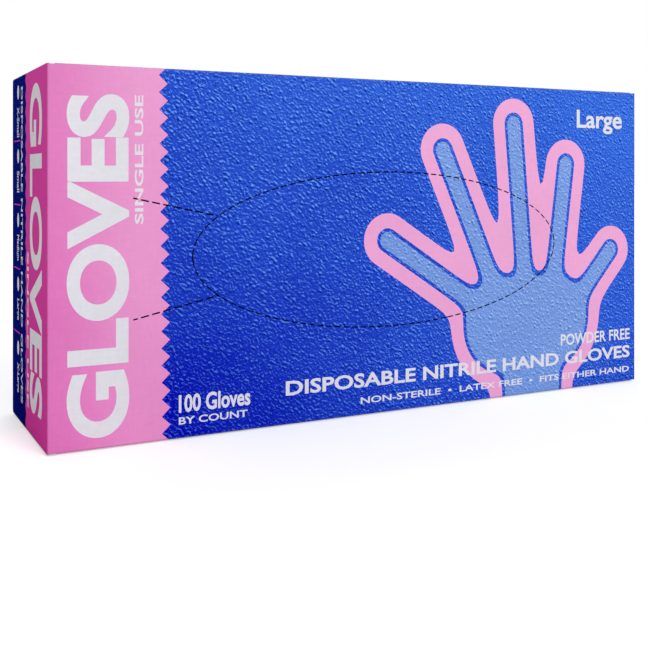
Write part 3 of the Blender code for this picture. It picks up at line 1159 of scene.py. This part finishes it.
def glove_pattern(node, spacing):
    """A flat glove as points, triangles and each point's distance from the rim."""
    outline = closed(flat_outline(node))
    points = outline.reshape(-1, 2)
    (u_low, v_low), (u_high, v_high) = points.min(0), points.max(0)

    def inset(u, v):
        flat = np.column_stack([u.ravel(), v.ravel()])
        return rim_distance(outline, flat).reshape(u.shape) - ROLL_OFF

    edge_sets = [outline, contour(inset, u_low, u_high, v_low, v_high, 2.5)]
    verts, tris = triangulate(edge_sets, spacing, (u_low, u_high, v_low, v_high))
    tris = tris[inside(outline, verts[tris].mean(1))]
    used, tris = np.unique(tris, return_inverse=True)
    depth = np.abs(rim_distance(outline, verts[used]))
    depth[depth < 0.01] = 0
    return verts[used], tris.reshape(-1, 3), depth


def creases_at(u, v, layer, strength, fine=0.25):
    """Soft creases in the glove film: long ridges that change slowly from glove to glove."""
    height = np.zeros(len(u))
    for k, (a, b) in enumerate(zip(u, v)):
        slow = noise.noise((a * 0.018, b * 0.03, layer * 0.035))
        ridge = 1 - abs(noise.noise((a * 0.045 + 5, b * 0.06, layer * 0.05)))
        cross = 1 - abs(noise.noise((a * 0.09 + b * 0.05, b * 0.04 - a * 0.02 + 7, layer * 0.05)))
        small = noise.noise((a * 0.13, b * 0.11 + 9, layer * 0.12))
        height[k] = slow * 0.9 + (ridge - 0.75) * 1.2 + (cross**3 - 0.5) * 4 * fine + small * fine
    return height * strength


def two_films(pattern, u, v, middle, normal_u, normal_out, half):
    """A glove's points and faces: two films, half a thickness either side of its middle."""
    _, tris, depth = pattern
    half = half * np.sqrt(np.clip(depth / ROLL_OFF, 0, 1))
    films = [
        np.column_stack([u + way * half * normal_u, middle + way * half * normal_out, v])
        for way in (-1, 1)
    ]
    return np.vstack(films), [*tris.tolist(), *(tris[:, ::-1] + len(u)).tolist()]


def flat_glove(pattern, layer, middle, step, strength):
    """One glove of a bundle, lying flat but for its creases, a little askew."""
    verts = pattern[0]
    swing = math.radians(ASKEW * math.sin(layer * 2.4))
    centre = HEIGHT / 2
    u = verts[:, 0] * math.cos(swing) - (verts[:, 1] - centre) * math.sin(swing)
    v = (verts[:, 1] - centre) * math.cos(swing) + verts[:, 0] * math.sin(swing) + centre
    v = np.maximum(v + UNEVEN * math.sin(layer * 1.7), BOARD + 0.25)
    middle = middle - creases_at(u, v, layer, strength)
    return two_films(pattern, u, v, middle, 0.0, 1.0, step * 0.46)


def fold_path(run, edge, folds):
    """Where a length of film lies that starts at an edge, heads left, and doubles back behind
    itself at each fold: the place across, how far forward, and the film's normal."""
    heading, place, start = -1, edge, 0.0
    level = 2.0 * FOLD_RADIUS * len(folds)
    across = edge - run
    forward = np.full_like(run, level)
    normal_across, normal_forward = np.zeros_like(run), np.ones_like(run)
    for fold in folds:
        place += heading * (fold - start)
        past = run > fold
        angle = np.clip((run - fold) / FOLD_RADIUS, 0, math.pi)
        beyond = np.maximum(run - fold - math.pi * FOLD_RADIUS, 0)
        turned = place + heading * (FOLD_RADIUS * np.sin(angle) - beyond)
        across = np.where(past, turned, across)
        forward = np.where(past, level - FOLD_RADIUS * (1 - np.cos(angle)), forward)
        normal_across = np.where(past, -np.sin(angle), normal_across)
        normal_forward = np.where(past, -heading * np.cos(angle), normal_forward)
        level -= 2 * FOLD_RADIUS
        start = fold + math.pi * FOLD_RADIUS
        heading = -heading
    return across, forward, normal_across, normal_forward


def folded_glove(pattern, cuff_side, edge, folds, base, layer):
    """One of the foremost gloves: folded so that its beaded cuff lies behind the oval."""
    verts = pattern[0]
    run = CUFF_EDGE - cuff_side * verts[:, 0]
    across, forward, normal_across, normal_forward = fold_path(run, edge, folds)
    u = -cuff_side * across
    v = (verts[:, 1] - HEIGHT / 2) * (1 + 0.0006 * forward) + HEIGHT / 2
    middle = base - forward - creases_at(u, v, layer, *FOLDED_CREASES)
    normal_u = -cuff_side * normal_across
    return two_films(pattern, u, v, middle, normal_u, -normal_forward, FOLDED_HALF)


def tube_faces(rows, ring):
    """The faces of a closed tube whose points go round one ring after another."""
    faces = []
    for k in range(rows - 1):
        for s in range(ring):
            a, b = k * ring + s, k * ring + (s + 1) % ring
            faces.append((a, b, b + ring, a + ring))
    last = (rows - 1) * ring
    return [*faces, tuple(range(ring))[::-1], tuple(last + s for s in range(ring))]


def cuff_bead(pattern, cuff_side, edge, folds, base, layer):
    """The rolled rim of a folded glove's cuff, as a thin tube along its edge."""
    rim = pattern[0][np.abs(CUFF_EDGE - cuff_side * pattern[0][:, 0]) < 0.01]
    heights = np.linspace(rim[:, 1].min(), rim[:, 1].max(), BEAD_ROWS)
    _, forward, *_ = fold_path(np.zeros(BEAD_ROWS), edge, folds)
    u = np.full(BEAD_ROWS, -cuff_side * edge)
    middle = base - forward - creases_at(u, heights, layer, *FOLDED_CREASES)
    points = []
    for k, height in enumerate(heights):
        out = BEAD_RADIUS * math.sqrt(max(0.03, 1 - abs(2 * k / (BEAD_ROWS - 1) - 1) ** 10))
        for s in range(BEAD_RING):
            angle = 2 * math.pi * s / BEAD_RING
            points.append(
                (u[k] + out * math.cos(angle), middle[k] + out * math.sin(angle), height)
            )
    return np.array(points), tube_faces(BEAD_ROWS, BEAD_RING)


def foremost_gloves(left, right, base):
    """The two gloves nearest the oval: each is folded so that its cuff is the first to pull."""
    made = []
    for glove in (
        (left, -1, -6.0, [54.0], base, 98),
        (right, 1, -9.0, [54.0, 117.0], base - FOLD_RADIUS, 99),
    ):
        made += [folded_glove(*glove), cuff_bead(*glove)]
    return made


def close_up(piece):
    """Joins the films along their rims and turns every face outwards."""
    work = bmesh.new()
    work.from_mesh(piece.data)
    bmesh.ops.remove_doubles(work, verts=work.verts, dist=1e-6)
    bmesh.ops.recalc_face_normals(work, faces=work.faces)
    work.to_mesh(piece.data)
    work.free()


def build_gloves():
    """The stack, a bundle at a time from the back. The last bundle's first two gloves to be pulled
    are folded, and every bundle lies the other way round from the one behind it."""
    names = sorted(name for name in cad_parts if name.startswith("glove_bundle"))
    patterns = [glove_pattern(names[k], FILM_STEP) for k in (0, 1)]
    total = len(names) * GLOVES_IN_BUNDLE
    for number, node in enumerate(names):
        pattern, flat_count = patterns[number % 2], GLOVES_IN_BUNDLE
        last = number == len(names) - 1
        if last:
            pattern, flat_count = glove_pattern(node, FINE_FILM_STEP), GLOVES_IN_BUNDLE - 2
        low, high = node_box(node)
        step = (high[1] - low[1] + CAD_GAP) / GLOVES_IN_BUNDLE
        parts = []
        for k in range(flat_count):
            layer = number * GLOVES_IN_BUNDLE + k
            strength = 0.25 + 2.6 * max(0.0, layer / total - 0.55) ** 1.5
            middle = high[1] - (k + 0.5) * step
            parts.append(flat_glove(pattern, layer, middle, step, strength))
        if last:
            other = glove_pattern(names[(number + 1) % 2], FINE_FILM_STEP)
            parts += foremost_gloves(other, pattern, low[1] - LOOSE_GAP)
        faces, count = [], 0
        for part_points, part_faces in parts:
            faces += [[v + count for v in face] for face in part_faces]
            count += len(part_points)
        points = np.vstack([part_points for part_points, _ in parts])
        finish_of = [0] * len(faces)
        piece = new_piece(
            f"gloves_{number + 1:02d}", points, faces, ["nitrile_film"], finish_of, 0
        )
        close_up(piece)
        attach(piece, "carton", "nitrile", node)


GLUE_RING = 14


def glue_strip(name, node, body, along):
    """A pressed strip of glue: its edges wander, and its back and front are rounded off."""
    low, high = node_box(node)
    run = int(np.argmax(high - low))
    thin = int(np.argmin(high - low))
    across = 3 - run - thin
    rows = max(8, round((high[run] - low[run]) / along))
    half = (high - low) / 2
    middle = (high + low) / 2
    points = []
    for k in range(rows + 1):
        share = k / rows
        reach = math.sqrt(max(0.0, 1 - abs(2 * share - 1) ** 12))
        wander = noise.noise((k * 0.7, middle[run], middle[across]))
        wide = half[across] * max(0.05, reach * (0.86 + 0.14 * wander))
        for s in range(GLUE_RING):
            angle = 2 * math.pi * s / GLUE_RING
            corner = np.zeros(3)
            corner[run] = middle[run] + half[run] * (2 * share - 1)
            corner[across] = middle[across] + wide * math.cos(angle) + 0.12 * wander
            rise = math.copysign(abs(math.sin(angle)) ** 0.35, math.sin(angle))
            corner[thin] = middle[thin] + half[thin] * 0.96 * rise * max(reach, 0.05)
            points.append(corner)
    faces = tube_faces(rows + 1, GLUE_RING)
    piece = new_piece(name, points, faces, ["glue"], [0] * len(faces), 60)
    close_up(piece)
    attach(piece, body, "hot_melt_glue", node)


def build_glue():
    glue_strip("seam_glue_line", "seam_glue", "carton", 3.0)
    for side_name in ("left", "right"):
        for number in (1, 2):
            node = f"{side_name}_glue_bead_{number}"
            glue_strip(f"{side_name}_glue_line_{number}", node, f"{side_name}_inner", 2.0)


# ---------------------------------------------------------------- the stage
def build_stage():
    """A pale floor, a soft white room, a large soft light, and the camera."""
    scene = bpy.context.scene
    scene.view_settings.view_transform = "Standard"
    floor_mesh = bpy.data.meshes.new("floor")
    corners = [(x * 6.0, y * 6.0, -0.0004) for x, y in ((-1, -1), (1, -1), (1, 1), (-1, 1))]
    floor_mesh.from_pydata(corners, [], [(0, 1, 2, 3)])
    floor = new_object("floor", floor_mesh)
    tree, shader = start_material("pale_floor", 0.8, 0.1)
    shader.inputs["Base Color"].default_value = (0.85, 0.85, 0.85, 1)
    seen = add(tree, "ShaderNodeLightPath").outputs["Is Camera Ray"]
    glow = add(tree, "ShaderNodeEmission", {"Strength": math_node(tree, "MULTIPLY", seen, 0.42)})
    both = add(tree, "ShaderNodeAddShader", {0: shader.outputs[0], 1: glow.outputs[0]}).outputs[0]
    tree.links.new(both, tree.nodes["Material Output"].inputs["Surface"])
    floor_mesh.materials.append(MATERIALS["pale_floor"])

    world = bpy.data.worlds.new("soft room")
    world.use_nodes = True
    tree = world.node_tree
    tree.nodes.clear()
    seen = add(tree, "ShaderNodeLightPath").outputs["Is Camera Ray"]
    room, backdrop = (
        add(tree, "ShaderNodeBackground", {"Color": (1, 1, 1, 1), "Strength": strength}).outputs[0]
        for strength in (0.5, 1.0)
    )
    shown = add(tree, "ShaderNodeMixShader", {0: seen, 1: room, 2: backdrop}).outputs[0]
    add(tree, "ShaderNodeOutputWorld", {"Surface": shown})
    scene.world = world

    for name, azimuth, elevation, softness, strength in (
        ("key", 14.0, 32.0, 35.0, 1.46), ("fill", 165.0, 40.0, 50.0, 0.8)
    ):
        data = bpy.data.lights.new(name, "SUN")
        data.energy, data.angle = strength, math.radians(softness)
        lamp = new_object(name, data)
        a, e = math.radians(azimuth), math.radians(elevation)
        way = Vector((math.sin(a) * math.cos(e), -math.cos(a) * math.cos(e), math.sin(e)))
        lamp.rotation_euler = way.to_track_quat("Z", "Y").to_euler()

    data = bpy.data.cameras.new("camera")
    data.lens, data.sensor_width = 53.89, 36.0
    data.shift_y = -0.229
    camera = new_object("camera", data)
    camera.location = (-0.1801, -0.3327, 0.0854)
    camera.rotation_euler = (math.radians(90), 0, math.radians(-27.11))
    scene.camera = camera


build_front()
build_sleeve()
build_end("left", -1)
build_end("right", 1)
build_ties()
build_gloves()
build_glue()
build_stage()
